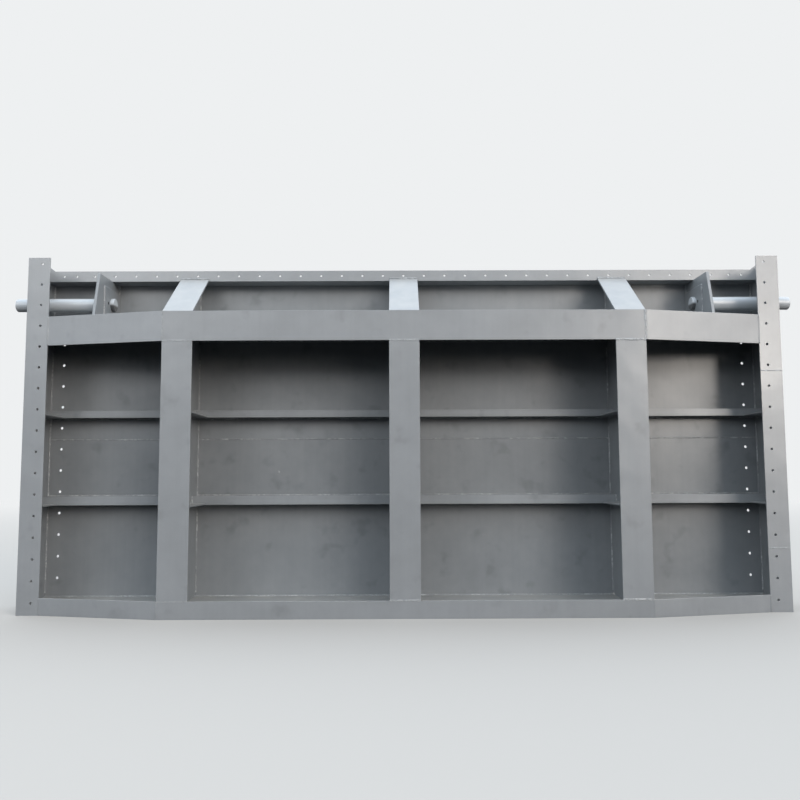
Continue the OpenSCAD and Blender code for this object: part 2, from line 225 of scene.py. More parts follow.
def pale_floor():
    """A round floor that looks pale to the camera and gives back little light."""
    bpy.ops.mesh.primitive_circle_add(vertices=96, radius=FLOOR_RADIUS, fill_type="NGON")
    floor = bpy.context.object
    floor.name = "floor"
    material = bpy.data.materials.new("pale studio floor")
    material.use_nodes = True
    tree = material.node_tree
    tree.nodes.clear()
    place = add(tree, "TexCoord").outputs["Object"]
    reach = add(tree, "VectorMath", {0: place}, operation="LENGTH").outputs["Value"]
    fade = add(tree, "MapRange", {"Value": reach, "From Min": FADE_FROM, "From Max": FADE_TO},
        interpolation_type="SMOOTHSTEP")
    pale = add(tree, "BsdfDiffuse", {"Color": linear(PALE_FLOOR)})
    far = add(tree, "Emission", {"Color": linear(BACKDROP), "Strength": 1.0})
    seen = add(tree, "MixShader", {0: fade, 1: pale, 2: far})
    dark = add(tree, "BsdfDiffuse", {"Color": linear(DARK_FLOOR)})
    ray = add(tree, "LightPath")
    both = add(tree, "MixShader", {0: ray.outputs["Is Camera Ray"], 1: dark, 2: seen})
    add(tree, "OutputMaterial", {"Surface": both})
    floor.data.materials.append(material)


pale_floor()
print("floor of radius", FLOOR_RADIUS, "metres")

# %% [markdown]
# The whole leaf is sprayed with one alkyd enamel, a plain middle grey. On plate it never looks flat: the
# spray leaves broad soft clouds and smaller patches, gloves and boots leave a smudge here and there, rain
# draws thin streaks downwards, dust settles on everything that faces up, and the plate itself is pulled
# into shallow waves by its welds. All of these come from one kind of mottle, soft noise about 0.5, at
# different sizes. Moving the noise by a seed gives each use a pattern of its own.

# %% Mottle
MIDDLE = 0.5
FINE_SHARE = 0.55


def mottle(tree, place, size, detail, seed):
    """Soft mottle about 0.5, with spots of a given size in metres."""
    moved = add(tree, "Mapping", {"Vector": place, "Location": (seed, 2 * seed, 3 * seed)})
    return add(tree, "TexNoise", {"Vector": moved, "Scale": 1 / size, "Detail": detail,
        "Roughness": FINE_SHARE})


def swing(tree, place, size, detail, seed, weight):
    """Mottle that swings about zero with a given weight."""
    about_zero = add(tree, "Math", {0: mottle(tree, place, size, detail, seed), 1: MIDDLE},
        operation="SUBTRACT")
    return add(tree, "Math", {0: about_zero, 1: weight}, operation="MULTIPLY")


print("spots of 90 mm need a noise scale of", round(1 / (90 * MM), 2))

# %% [markdown]
# The base colour is one mix between a darker and a lighter shade of the enamel, and the clouds, patches,
# streaks and smudges all say how far the mix goes. Streaks are a mottle that is stretched downwards. Dust
# needs more than the mix, because it has its own warmer colour, so it is laid over the paint wherever the
# surface faces up.

# %% Shades of the paint
CLOUD_SIZE = 550 * MM
CLOUD_WEIGHT = 0.75
PATCH_SIZE = 90 * MM
PATCH_WEIGHT = 0.42
STREAK_WIDTH = 35 * MM
STREAK_LENGTH = 1100 * MM
STREAK_WEIGHT = 0.26
SMUDGE_SIZE = 140 * MM
SMUDGED = {"From Min": 0.58, "From Max": 0.8, "To Max": 0.45}
DUST_SIZE = 120 * MM
DUST = "#b2afa8"
FACES_UP = {"From Min": 0.6, "From Max": 0.95}


def paint_shade(tree, place, seed):
    """How light the paint is, about 0.5: clouds and patches, streaks downwards and a few smudges."""
    stretched = add(tree, "Mapping", {"Vector": place, "Scale": (1, 1, STREAK_WIDTH / STREAK_LENGTH)})
    clouds = swing(tree, place, CLOUD_SIZE, 3, seed, CLOUD_WEIGHT)
    patches = swing(tree, place, PATCH_SIZE, 3, seed + 1, PATCH_WEIGHT)
    streaks = swing(tree, stretched, STREAK_WIDTH, 2, seed + 2, STREAK_WEIGHT)
    shade = MIDDLE
    for part in (clouds, patches, streaks):
        shade = add(tree, "Math", {0: shade, 1: part}, operation="ADD")
    smudges = add(tree, "MapRange", {"Value": mottle(tree, place, SMUDGE_SIZE, 2, seed + 8), **SMUDGED},
        interpolation_type="SMOOTHSTEP")
    return add(tree, "Math", {0: shade, 1: smudges}, operation="SUBTRACT")


def dusted(tree, place, facing, colour, seed):
    """A colour with uneven dust on it where it faces up."""
    upward = add(tree, "MapRange", {"Value": facing["Z"], **FACES_UP}, interpolation_type="SMOOTHSTEP")
    settled = add(tree, "Math", {0: upward, 1: mottle(tree, place, DUST_SIZE, 5, seed + 3)},
        operation="MULTIPLY")
    return add(tree, "MixRGB", {"Fac": settled, "Color1": colour, "Color2": linear(DUST)})


print("clouds", CLOUD_SIZE, "patches", PATCH_SIZE, "and smudges", SMUDGE_SIZE, "metres wide")

# %% [markdown]
# Butt welds on the outermost faces can't stand out of them, because nothing may leave the outline of the
# steelwork, so they are drawn in the paint. The upper beam's flange has one where it bends, the girder
# flanges have one at each end, and the back of the skin has one between its two plates. The back also shows
# where the webs and ribs are welded to the other side: each pulls the plate in by a hair.
#
# A seam is found by distance: first how far each point is from the line of the weld, then a band that is 1
# on the line and falls softly to 0 beside it.

# %% Distances and bands
GIRDER_X = (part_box("right_girder_web")[0].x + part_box("right_girder_web")[1].x) / 2


def away(tree, value, middle):
    """How far a value is from a middle, on either side."""
    difference = add(tree, "Math", {0: value, 1: middle}, operation="SUBTRACT")
    return add(tree, "Math", {0: difference}, operation="ABSOLUTE")


def band(tree, value, middle, reach):
    """1 where a value is at a middle, falling softly to 0 at a reach from it."""
    return add(tree, "MapRange", {"Value": away(tree, value, middle), "From Min": 0.0, "From Max": reach,
        "To Min": 1.0, "To Max": 0.0}, interpolation_type="SMOOTHSTEP")


def within(tree, value, middle, reach):
    """1 where a value is less than a reach away from a middle, and 0 elsewhere."""
    return add(tree, "Math", {0: away(tree, value, middle), 1: reach}, operation="LESS_THAN")


def off_girder(tree, x):
    """The distance to the nearest girder, found by folding the leaf twice."""
    half = away(tree, x, 0.0)
    return away(tree, away(tree, half, GIRDER_X / 2), GIRDER_X / 2)


print("girders at x", [round(x, 3) for x in (-GIRDER_X, 0.0, GIRDER_X)])

# %% [markdown]
# Each of the next functions gives two shares from 0 to 1: how much of a point is bead, and how deep it is
# dented, if the plate has dents at all. The weld beads that are modelled use the same way to get their
# dashes of painted highlight, so they have a function too.

# %% Seams drawn in the paint
BEND_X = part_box("upper_flange_centre")[1].x
UPPER_FLANGE = (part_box("upper_flange_centre")[0].z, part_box("upper_flange_centre")[1].z)
GIRDER_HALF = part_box("right_girder_flange")[1].x - GIRDER_X
FLANGE_ENDS = (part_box("right_girder_flange")[0].z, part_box("right_girder_flange")[1].z)
SKIN_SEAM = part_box("skin_lower_plate")[1].z
CHIP = (-0.95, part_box("skin_lower_plate")[0].y, 0.987)
WELDED_LEVELS = [(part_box(node)[0].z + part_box(node)[1].z) / 2
    for node in ("lower_beam_web", "lower_rib_mid_left", "upper_rib_mid_left", "upper_beam_web")]
BEND_REACH = 12 * MM
SEAM_REACH = 11 * MM
CHIP_REACH = 12 * MM
DENT_REACH = 50 * MM
GROUND_FLAT = {"From Min": -1.0, "From Max": 1.5, "To Min": 0.25}
WELD_MOTTLE = 70 * MM
RIPPLE_HIGHLIGHTS = {"From Min": 0.4, "From Max": 0.62}
HALF_TURNED = 0.5


def flange_seams(tree, place, facing):
    """The butt welds of the flanges, ground flatter towards the left, and no dents."""
    axes = add(tree, "SeparateXYZ", {"Vector": place}).outputs
    bends = band(tree, away(tree, axes["X"], 0.0), BEND_X, BEND_REACH)
    on_beam = within(tree, axes["Z"], sum(UPPER_FLANGE) / 2, (UPPER_FLANGE[1] - UPPER_FLANGE[0]) / 2)
    bends = add(tree, "Math", {0: bends, 1: on_beam}, operation="MULTIPLY")
    low_end, high_end = [band(tree, axes["Z"], level, SEAM_REACH) for level in FLANGE_ENDS]
    ends = add(tree, "Math", {0: low_end, 1: high_end}, operation="MAXIMUM")
    on_girder = within(tree, off_girder(tree, axes["X"]), 0.0, GIRDER_HALF)
    ends = add(tree, "Math", {0: ends, 1: on_girder}, operation="MULTIPLY")
    bead = add(tree, "Math", {0: bends, 1: ends}, operation="MAXIMUM")
    left = add(tree, "MapRange", {"Value": axes["X"], **GROUND_FLAT}, interpolation_type="SMOOTHSTEP")
    forward = add(tree, "Math", {0: facing["Y"], 1: -HALF_TURNED}, operation="LESS_THAN")
    for share in (left, forward):
        bead = add(tree, "Math", {0: bead, 1: share}, operation="MULTIPLY")
    return bead, None


def skin_seams(tree, place, facing):
    """The butt weld on the back of the skin and a chip in front, and the dents along webs and ribs."""
    axes = add(tree, "SeparateXYZ", {"Vector": place}).outputs
    backward = add(tree, "Math", {0: facing["Y"], 1: HALF_TURNED}, operation="GREATER_THAN")
    bead = add(tree, "Math", {0: band(tree, axes["Z"], SKIN_SEAM, SEAM_REACH), 1: backward},
        operation="MULTIPLY")
    from_chip = add(tree, "VectorMath", {0: place, 1: CHIP}, operation="DISTANCE").outputs["Value"]
    bead = add(tree, "Math", {0: bead, 1: band(tree, from_chip, 0.0, CHIP_REACH)}, operation="MAXIMUM")
    dents = band(tree, off_girder(tree, axes["X"]), 0.0, DENT_REACH)
    for level in WELDED_LEVELS:
        dent = band(tree, axes["Z"], level, DENT_REACH)
        dents = add(tree, "Math", {0: dents, 1: dent}, operation="MAXIMUM")
    return bead, add(tree, "Math", {0: dents, 1: backward}, operation="MULTIPLY")


def weld_bead_highlights(tree, place, facing):
    """Painted highlights in dashes along the modelled beads, and no dents."""
    # Painted highlight: a mottle picks the lighter dashes along the ripples.
    ripple_highlights = mottle(tree, place, WELD_MOTTLE, 3, 37.0)
    return add(tree, "MapRange", {"Value": ripple_highlights, **RIPPLE_HIGHLIGHTS}, interpolation_type="SMOOTHSTEP"), None


print("seams at x", round(BEND_X, 3), "and z", [round(level, 3) for level in (*FLANGE_ENDS, SKIN_SEAM)])

# %% [markdown]
# Two places are darkened as painted shade: the lower half of each shaft end inside its lug, and the locking
# pin hole beside it with a thin ring round it. Each place is a share of painted shade from 0 to 1.

# %% Painted shade on the shaft ends and pin holes
CHEEK_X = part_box("right_lug_cheek")[0].x
SHAFT_Y = (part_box("right_lifting_shaft")[0].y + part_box("right_lifting_shaft")[1].y) / 2
SHAFT_Z = (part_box("right_lifting_shaft")[0].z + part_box("right_lifting_shaft")[1].z) / 2
PIN_AHEAD = 83 * MM
PIN_HOLE = (0, SHAFT_Y - PIN_AHEAD, SHAFT_Z)
PIN_RADIUS = 10 * MM
PIN_SHADE_REACH = 15 * MM
LUG_REACH = 50 * MM
SHADE_LINE = (SHAFT_Z - 14 * MM, SHAFT_Z + 6 * MM)


# Painted shade: the pin hole and a thin ring round it are darkened.
def pin_hole_painted_shade(tree, place):
    """Painted shade in and round the locking pin hole of each lug."""
    axes = add(tree, "SeparateXYZ", {"Vector": place}).outputs
    flat = add(tree, "CombineXYZ", {"Y": axes["Y"], "Z": axes["Z"]})
    from_pin = add(tree, "VectorMath", {0: flat, 1: PIN_HOLE}, operation="DISTANCE").outputs["Value"]
    hole_shade = add(tree, "MapRange", {"Value": from_pin, "From Min": PIN_RADIUS, "From Max": PIN_SHADE_REACH,
        "To Min": 1.0, "To Max": 0.0}, interpolation_type="SMOOTHSTEP")
    at_lug = within(tree, away(tree, axes["X"], 0.0), CHEEK_X, LUG_REACH)
    return add(tree, "Math", {0: hole_shade, 1: at_lug}, operation="MULTIPLY")


# Painted shade: the lower half of each shaft end inside the lugs is darkened.
def shaft_end_painted_shade(tree, place):
    """Painted shade on the lower half of each shaft end, inside the lugs."""
    axes = add(tree, "SeparateXYZ", {"Vector": place}).outputs
    inside = within(tree, axes["X"], 0.0, CHEEK_X)
    low = add(tree, "MapRange", {"Value": axes["Z"], "From Min": SHADE_LINE[0], "From Max": SHADE_LINE[1],
        "To Min": 1.0, "To Max": 0.0}, interpolation_type="SMOOTHSTEP")
    return add(tree, "Math", {0: inside, 1: low}, operation="MULTIPLY")


print("shaft axis at y", round(SHAFT_Y, 3), "and z", round(SHAFT_Z, 3))

# %% [markdown]
# The surface of the paint is made by bumps, because waves, peel and dents are far too shallow to change the
# outline. Plate pulled by its welds has waves half a metre long and a few millimetres deep, and sprayed
# enamel dries with a peel like that of an orange. Real peel is some four millimetres wide, too fine to show
# from six metres, so it is drawn thirty wide. A bead in the paint is broken into dashes by a fine mottle, is
# lightened as a painted highlight, and is raised by a bump of its own.

# %% Relief of the paint
WAVE_SIZE = 450 * MM
WAVE_DEPTH = 8 * MM
PEEL_SIZE = 30 * MM
PEEL_DEPTH = 0.12 * MM
DASH_SIZE = 18 * MM
DASHED = {"From Min": 0.35, "From Max": 0.62, "To Min": 0.1}
BEAD_HEIGHT = 3 * MM
DENT_DEPTH = 1.2 * MM
BEAD_HIGHLIGHT_AND_CHIP = "#c4c7c8"
BEAD_COVER = 0.65


def wavy_plate(tree, place, seed):
    """The waves of welded plate and, on them, the peel of sprayed paint."""
    waves = add(tree, "Bump", {"Height": mottle(tree, place, WAVE_SIZE, 2, seed + 5),
        "Distance": WAVE_DEPTH})
    return add(tree, "Bump", {"Height": mottle(tree, place, PEEL_SIZE, 1, seed + 6),
        "Distance": PEEL_DEPTH, "Normal": waves})


def show_seams(tree, place, bead, dents, colour, normal, seed):
    """A colour and a relief with the seams in them as raised dashes, lightened as painted highlights."""
    dashes = add(tree, "MapRange", {"Value": mottle(tree, place, DASH_SIZE, 1, seed + 7), **DASHED},
        interpolation_type="SMOOTHSTEP")
    bead = add(tree, "Math", {0: bead, 1: dashes}, operation="MULTIPLY")
    cover = add(tree, "Math", {0: bead, 1: BEAD_COVER}, operation="MULTIPLY")
    # Painted highlight: the beads, and the chip in front of the skin, are mixed towards a light grey.
    colour = add(tree, "MixRGB", {"Fac": cover, "Color1": colour, "Color2": linear(BEAD_HIGHLIGHT_AND_CHIP)})
    normal = add(tree, "Bump", {"Height": bead, "Distance": BEAD_HEIGHT, "Normal": normal})
    if dents is not None:
        height = add(tree, "Math", {0: 1.0, 1: dents}, operation="SUBTRACT")
        normal = add(tree, "Bump", {"Height": height, "Distance": DENT_DEPTH, "Normal": normal})
    return colour, normal


print("waves", WAVE_DEPTH / MM, "mm deep and", WAVE_SIZE / MM, "mm long, peel", PEEL_DEPTH / MM, "mm deep")

# %% [markdown]
# The enamel is one recipe with a few settings: two shades of grey, how rough it is, and the seams and the
# painted shade that show in it. A half-gloss enamel has a roughness between 0.3 and 0.4, which gives soft,
# wide reflections. Its index of refraction started from the usual 1.5. It was raised, and the paint and the
# sky were made darker, because the bays came out too light beside the plates that mirror the sky. The skin,
# deep in the bays, is given a darker copy of the enamel as painted shade, and the shafts a much lighter copy
# as painted light.

# %% Enamel paint
ENAMEL_IOR = 1.72
GLOSS_SIZE = 300 * MM
GLOSS_SWING = 0.04
PAINTED_SHADE_COLOUR = "#2b2927"
PAINTED_SHADE_COVER = 0.9


def enamel(name, dark, light, gloss_roughness, seed, seams=None, painted_shade=None):
    """Grey alkyd enamel sprayed on steel plate, between a dark and a light shade."""
    material = bpy.data.materials.new(name)
    material.use_nodes = True
    tree = material.node_tree
    tree.nodes.clear()
    coords = add(tree, "TexCoord")
    place = coords.outputs["Object"]
    facing = add(tree, "SeparateXYZ", {"Vector": coords.outputs["Normal"]}).outputs
    painted = add(tree, "MixRGB", {"Fac": paint_shade(tree, place, seed), "Color1": linear(dark),
        "Color2": linear(light)})
    colour = dusted(tree, place, facing, painted, seed)
    normal = wavy_plate(tree, place, seed)
    if seams:
        colour, normal = show_seams(tree, place, *seams(tree, place, facing), colour, normal, seed)
    if painted_shade:
        # Painted shade is laid over the colour here.
        cover = add(tree, "Math", {0: painted_shade(tree, place), 1: PAINTED_SHADE_COVER}, operation="MULTIPLY")
        colour = add(tree, "MixRGB", {"Fac": cover, "Color1": colour, "Color2": linear(PAINTED_SHADE_COLOUR)})
    rough = add(tree, "MapRange", {"Value": mottle(tree, place, GLOSS_SIZE, 3, seed + 4),
        "To Min": gloss_roughness - GLOSS_SWING, "To Max": gloss_roughness + GLOSS_SWING})
    surface = add(tree, "BsdfPrincipled", {"Base Color": colour, "Roughness": rough, "IOR": ENAMEL_IOR,
        "Normal": normal})
    add(tree, "OutputMaterial", {"Surface": surface})
    return material


# Lit and shaded copies of one enamel: the skin's darker shades are painted shade, the shafts' much lighter
# shades painted light.
FINISHES = {
    "skin_paint": enamel("grey alkyd enamel on skin plate, darkened as painted shade", "#6b6f72", "#868a8d", 0.38, 11.0,
        seams=skin_seams),
    "frame_paint": enamel("grey alkyd enamel on webs", "#74787b", "#8f9396", 0.38, 17.0,
        painted_shade=pin_hole_painted_shade),
    "flange_paint": enamel("grey alkyd enamel on flanges", "#7c7f81", "#919497", 0.32, 23.0,
        seams=flange_seams),
    "shaft_paint": enamel("grey alkyd enamel on turned steel", "#b0b5b9", "#c6cbcf", 0.32, 29.0,
        painted_shade=shaft_end_painted_shade),
    "weld_paint": enamel("grey alkyd enamel on weld beads, with painted highlights", "#787b7e", "#8f9396", 0.32, 31.0,
        seams=weld_bead_highlights),
}
for piece in steel.values():
    slot = piece.material_slots[0]
    slot.material = FINISHES[slot.material.name]
print("finishes", sorted(FINISHES))

# %% [markdown]
# Sheared and flame-cut plate never has a knife edge: the paint rounds it and it catches a thin line of
# light. A bevel of a millimetre and a half does that. The turned shafts are sharper, and their bevel has to
# leave some of the narrow step at the journal. The CAD mesh is loose triangles, so a weld modifier joins
# them first, and a planar decimate turns each flat side into one face: a sliver of a triangle has no clear
# direction, and the bevel would take its edges for corners. The last modifier weights the normals by the
# area of the faces, so that the large plates stay flat right up to their rounded edges.

# %% Rounded plate edges
EDGE_RADIUS = 1.5 * MM
TURNED_RADIUS = 0.8 * MM
SAME_PLACE = 0.01 * MM
FLAT_ANGLE = math.radians(1)
CORNER_ANGLE = math.radians(35)
FULL_WEIGHT = 100
SAME_AREA = 0.001


def rounded_edges(piece, radius):
    """Joins the triangles of a steel piece and rounds its corners, without changing its mesh."""
    joined = piece.modifiers.new("joined triangles", "WELD")
    joined.merge_threshold = SAME_PLACE
    flat_sides = piece.modifiers.new("flat sides", "DECIMATE")
    flat_sides.decimate_type = "DISSOLVE"
    flat_sides.angle_limit = FLAT_ANGLE
    bevel = piece.modifiers.new("rounded edges", "BEVEL")
    bevel.width = radius
    bevel.segments = 2
    bevel.limit_method = "ANGLE"
    bevel.angle_limit = CORNER_ANGLE
    by_area = piece.modifiers.new("normals by area", "WEIGHTED_NORMAL")
    by_area.weight = FULL_WEIGHT
    by_area.thresh = SAME_AREA


for name, piece in steel.items():
    rounded_edges(piece, TURNED_RADIUS if name.endswith("_shaft") else EDGE_RADIUS)
print("edges rounded to", EDGE_RADIUS / MM, "mm, and to", TURNED_RADIUS / MM, "mm on the shafts")

# %% [markdown]
# Most joints of the leaf are fillet welds: beads that fill the corner between two plates. Laid by hand, such
# a bead is a row of small ripples, one for each pause of the rod. One ripple is modelled here from a
# cylinder: a cut adds a ring in its middle, that ring is swollen, and two more cuts leave the quarter that
# sits in a corner. Its ends stay open, so that ripples can join into a run.

# %% One ripple of a weld
WELD_LEG = 7 * MM
RIPPLE_LENGTH = 9 * MM
RIPPLE_SWELL = 1.18
ROUND_SIDES = 12
LOOKS_ALONG = 0.9


def select_only(piece):
    """Deselects everything, then selects one piece and makes it active."""
    bpy.ops.object.select_all(action="DESELECT")
    piece.select_set(True)
    bpy.context.view_layer.objects.active = piece


def cut(place, normal, keep_front):
    """Cuts the whole mesh with a plane. If keep_front is set, what lies behind the plane is taken away."""
    bpy.ops.mesh.select_all(action="SELECT")
    bpy.ops.mesh.bisect(plane_co=place, plane_no=normal, use_fill=keep_front, clear_inner=keep_front)


def open_ends(piece):
    """Takes away the faces that look along Z."""
    for face in piece.data.polygons:
        face.select = abs(face.normal.z) > LOOKS_ALONG
    bpy.ops.object.mode_set(mode="EDIT")
    bpy.ops.mesh.delete(type="ONLY_FACE")
    bpy.ops.object.mode_set(mode="OBJECT")


def model_ripple():
    """A quarter round along Z with its corner at the origin, swollen in the middle and open at its ends."""
    bpy.ops.object.select_all(action="DESELECT")
    bpy.ops.mesh.primitive_cylinder_add(vertices=ROUND_SIDES, radius=WELD_LEG, depth=RIPPLE_LENGTH,
        location=(0, 0, RIPPLE_LENGTH / 2))
    piece = bpy.context.object
    piece.name = "ripple"
    bpy.ops.object.transform_apply(location=True, rotation=False, scale=False)
    bpy.ops.object.mode_set(mode="EDIT")
    middle = (0, 0, RIPPLE_LENGTH / 2)
    cut(middle, (0, 0, 1), False)
    bpy.ops.transform.resize(value=(RIPPLE_SWELL, RIPPLE_SWELL, 1), center_override=middle)
    cut((0, 0, 0), (1, 0, 0), True)
    cut((0, 0, 0), (0, 1, 0), True)
    bpy.ops.mesh.select_all(action="DESELECT")
    bpy.ops.object.mode_set(mode="OBJECT")
    open_ends(piece)
    return piece


ripple = model_ripple()
print("one ripple has", len(ripple.data.polygons), "faces")

# %% [markdown]
# A run of weld is the ripple repeated along a corner. It needs only the two ends of the corner and the
# directions in which the two plates face, because those give the way to turn the ripple. The array
# modifier merges the open ends, the two outer ends are filled, and the run is stretched a little so that a
# whole number of ripples fits.

# %% Runs of fillet weld
SAME_RING = 0.02 * MM


def row_of_ripples(count):
    """A straight row of ripples along Z, closed at both ends."""
    run = bpy.data.objects.new("run", ripple.data.copy())
    bpy.context.collection.objects.link(run)
    row = run.modifiers.new("row of ripples", "ARRAY")
    row.count = count
    row.use_relative_offset = False
    row.use_constant_offset = True
    row.constant_offset_displace = (0, 0, RIPPLE_LENGTH)
    row.use_merge_vertices = True
    row.merge_threshold = SAME_RING
    select_only(run)
    bpy.ops.object.modifier_apply(modifier=row.name)
    bpy.ops.object.mode_set(mode="EDIT")
    bpy.ops.mesh.select_all(action="SELECT")
    bpy.ops.mesh.fill_holes(sides=0)
    bpy.ops.object.mode_set(mode="OBJECT")
    return run


def fillet(start, end, face_a, face_b, reach_a=1.0, reach_b=1.0):
    """A run of ripples in the corner of two faces, with its reach along each as a share of the leg."""
    a, b = Vector(face_a).normalized(), Vector(face_b).normalized()
    along = a.cross(b).normalized()
    start, end = sorted((Vector(start), Vector(end)), key=along.dot)
    count = max(1, round((end - start).length / RIPPLE_LENGTH))
    stretch = (end - start).length / (count * RIPPLE_LENGTH)
    run = row_of_ripples(count)
    turn = Matrix((a * reach_a, b * reach_b, along * stretch)).transposed().to_4x4()
    run.matrix_world = Matrix.Translation(start) @ turn
    bpy.ops.object.transform_apply(location=True, rotation=True, scale=True)
    return run


print("a weld has a leg of", WELD_LEG / MM, "mm and a ripple every", RIPPLE_LENGTH / MM, "mm")

# %% [markdown]
# The welds find their places from the steelwork itself. A few faces of the plates and four directions are
# enough to say where each corner runs and which ways its two plates face.

# %% Faces of the steelwork
SKIN_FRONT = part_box("skin_upper_plate")[0].y
FLANGE_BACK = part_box("upper_flange_centre")[1].y
END_WEB_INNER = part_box("right_end_web")[0].x
LOWER_WEB = (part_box("lower_beam_web")[0].z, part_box("lower_beam_web")[1].z)
UPPER_WEB = (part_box("upper_beam_web")[0].z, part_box("upper_beam_web")[1].z)
COPE = 30 * MM
GIRDERS = ("left", "centre", "right")
ENDS = {"left": -1, "right": 1}
TO_FRONT, TO_BACK = (0, -1, 0), (0, 1, 0)
UP, DOWN = (0, 0, 1), (0, 0, -1)


def box_of(node):
    """The lowest and highest corners of a steel piece as one flat set: x0, y0, z0, x1, y1, z1."""
    low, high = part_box(node)
    return (*low, *high)


def sides_of(node):
    """The left and right ends of a steel piece."""
    low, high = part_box(node)
    return low.x, high.x


def web_faces(girder):
    """The two faces of a girder's web, each with the way it looks along X."""
    left, right = sides_of(girder + "_girder_web")
    return (left, -1), (right, 1)


print("skin face at y", round(SKIN_FRONT, 4), "and flanges' back at y", round(FLANGE_BACK, 4))

# %% [markdown]
# The skin is welded to everything that carries it. Each upright web has a run on both sides, stopped short
# at the round copes in its corners, and both beams have a run above and below that passes through those
# copes. The end webs are welded on the inside only.

# %% Welds between the skin and the webs
def skin_runs():
    """The places of the welds along the skin: start, end and the two ways that the plates face."""
    lower_panel = (LOWER_WEB[1] + COPE, UPPER_WEB[0] - COPE)
    upper_panel = (UPPER_WEB[1] + COPE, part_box("centre_girder_web")[1].z)
    corners = [face for girder in GIRDERS for face in web_faces(girder)]
    corners += [(-END_WEB_INNER, 1), (END_WEB_INNER, -1)]
    for x, way in corners:
        for low, high in (lower_panel, upper_panel):
            yield (x, SKIN_FRONT, low), (x, SKIN_FRONT, high), (way, 0, 0), TO_FRONT
    for low, high in (LOWER_WEB, UPPER_WEB):
        for z, way in ((low, DOWN), (high, UP)):
            yield (-END_WEB_INNER, SKIN_FRONT, z), (END_WEB_INNER, SKIN_FRONT, z), way, TO_FRONT


print(len(list(skin_runs())), "runs on the skin")

# %% [markdown]
# The flanges are welded to the webs from behind, on both sides of each web. The beams' flanges bend back
# near the ends, and there the weld follows the bend.

# %% Welds behind the flanges
def flange_runs():
    """The places of the welds in the corners between the webs and the back of the flanges."""
    low, high = LOWER_WEB[1] + COPE, UPPER_WEB[0] - COPE
    for girder in GIRDERS:
        for x, way in web_faces(girder):
            yield (x, FLANGE_BACK, low), (x, FLANGE_BACK, high), (way, 0, 0), TO_BACK
    bend, front, _, strip, back, _ = box_of("upper_flange_right")
    slope = (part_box("right_side_strip")[0].y - front) / (strip - bend)
    back_at_bend = back - slope * (strip - bend)
    for side in ENDS.values():
        slanting = (-side * slope, 1, 0)
        for z, way in ((LOWER_WEB[0], DOWN), (LOWER_WEB[1], UP), (UPPER_WEB[0], DOWN), (UPPER_WEB[1], UP)):
            yield (0, FLANGE_BACK, z), (side * bend, FLANGE_BACK, z), way, TO_BACK
            yield (side * bend, back_at_bend, z), (side * strip, back, z), way, slanting


print(len(list(flange_runs())), "runs behind the flanges")

# %% [markdown]
# The ribs are channels laid on the skin with their flanges up. Each has a run along the skin above its back
# flange and below its web, and both ends are welded to the girder webs in front and below. The level
# stiffeners carry the ribs' thrust to the flanges and are welded to web and flange.

# %% Welds round the ribs and stiffeners
def rib_runs():
    """The places of the welds of the eight ribs."""
    for level in ("lower", "upper"):
        for bay in ("far_left", "mid_left", "mid_right", "far_right"):
            x0, y0, z0, x1, _, z1 = box_of(level + "_rib_" + bay)
            yield (x0, SKIN_FRONT, z1), (x1, SKIN_FRONT, z1), UP, TO_FRONT
            yield (x0, SKIN_FRONT, z0), (x1, SKIN_FRONT, z0), DOWN, TO_FRONT
            for x, way in ((x0, 1), (x1, -1)):
                yield (x, y0, z0), (x, y0, z1), (way, 0, 0), TO_FRONT
                yield (x, y0, z0), (x, SKIN_FRONT, z0), (way, 0, 0), DOWN


def stiffener_runs():
    """The places of the welds of the stiffeners in the girders."""
    upper_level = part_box("upper_rib_mid_left")[0].z
    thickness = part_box("left_end_stiffeners")[1].z - upper_level
    for girder in GIRDERS:
        left_edge, _, lower_level, right_edge, back, _ = box_of(girder + "_girder_stiffeners")
        for z, rib_front in ((lower_level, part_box("lower_rib_mid_left")[0].y), (upper_level, back)):
            for (x, way), edge in zip(web_faces(girder), (left_edge, right_edge)):
                for level, up in ((z, DOWN), (z + thickness, UP)):
                    yield (x, FLANGE_BACK + COPE, level), (x, rib_front, level), (way, 0, 0), up
                    yield (x + way * COPE, FLANGE_BACK, level), (edge, FLANGE_BACK, level), TO_BACK, up


print(len(list(rib_runs())), "runs on the ribs and", len(list(stiffener_runs())), "on the stiffeners")

# %% [markdown]
# Butt welds lie flat, because two plates meet edge to edge and the bead stands out by only two or three
# millimetres. Each is two runs back to back, pressed down to a share of their leg. One joins the two plates
# of the skin, two splice the right strip, and four join the ends of the beams' flanges to the side strips.
# Where a joint ends at a free edge, its bead stops just short of it, so that nothing stands past the plate.

# %% Butt welds
BUTT_REACH = {"skin": (0.6, 0.3), "strip": (0.8, 0.3), "splice": (0.5, 0.12)}
END_GAP = 4 * MM
SPLICE_LEVELS = (0.443, 1.694)


def butt(kind, start, end, across):
    """Two flat runs back to back along a joint, on a face that looks to the front."""
    for way in (1, -1):
        yield start, end, way * Vector(across), TO_FRONT, *BUTT_REACH[kind]


def butt_runs():
    """The places of the butt weld on the skin's front and of the two splices of the right strip."""
    uprights = (-END_WEB_INNER, -GIRDER_X, 0, GIRDER_X, END_WEB_INNER)
    for left, right in zip(uprights[:-1], uprights[1:]):
        yield from butt("skin", (left, SKIN_FRONT, SKIN_SEAM), (right, SKIN_FRONT, SKIN_SEAM), UP)
    inner, front, _, outer, _, _ = box_of("right_side_strip")
    for level in SPLICE_LEVELS:
        yield from butt("splice", (inner, front, level), (outer - END_GAP, front, level), UP)


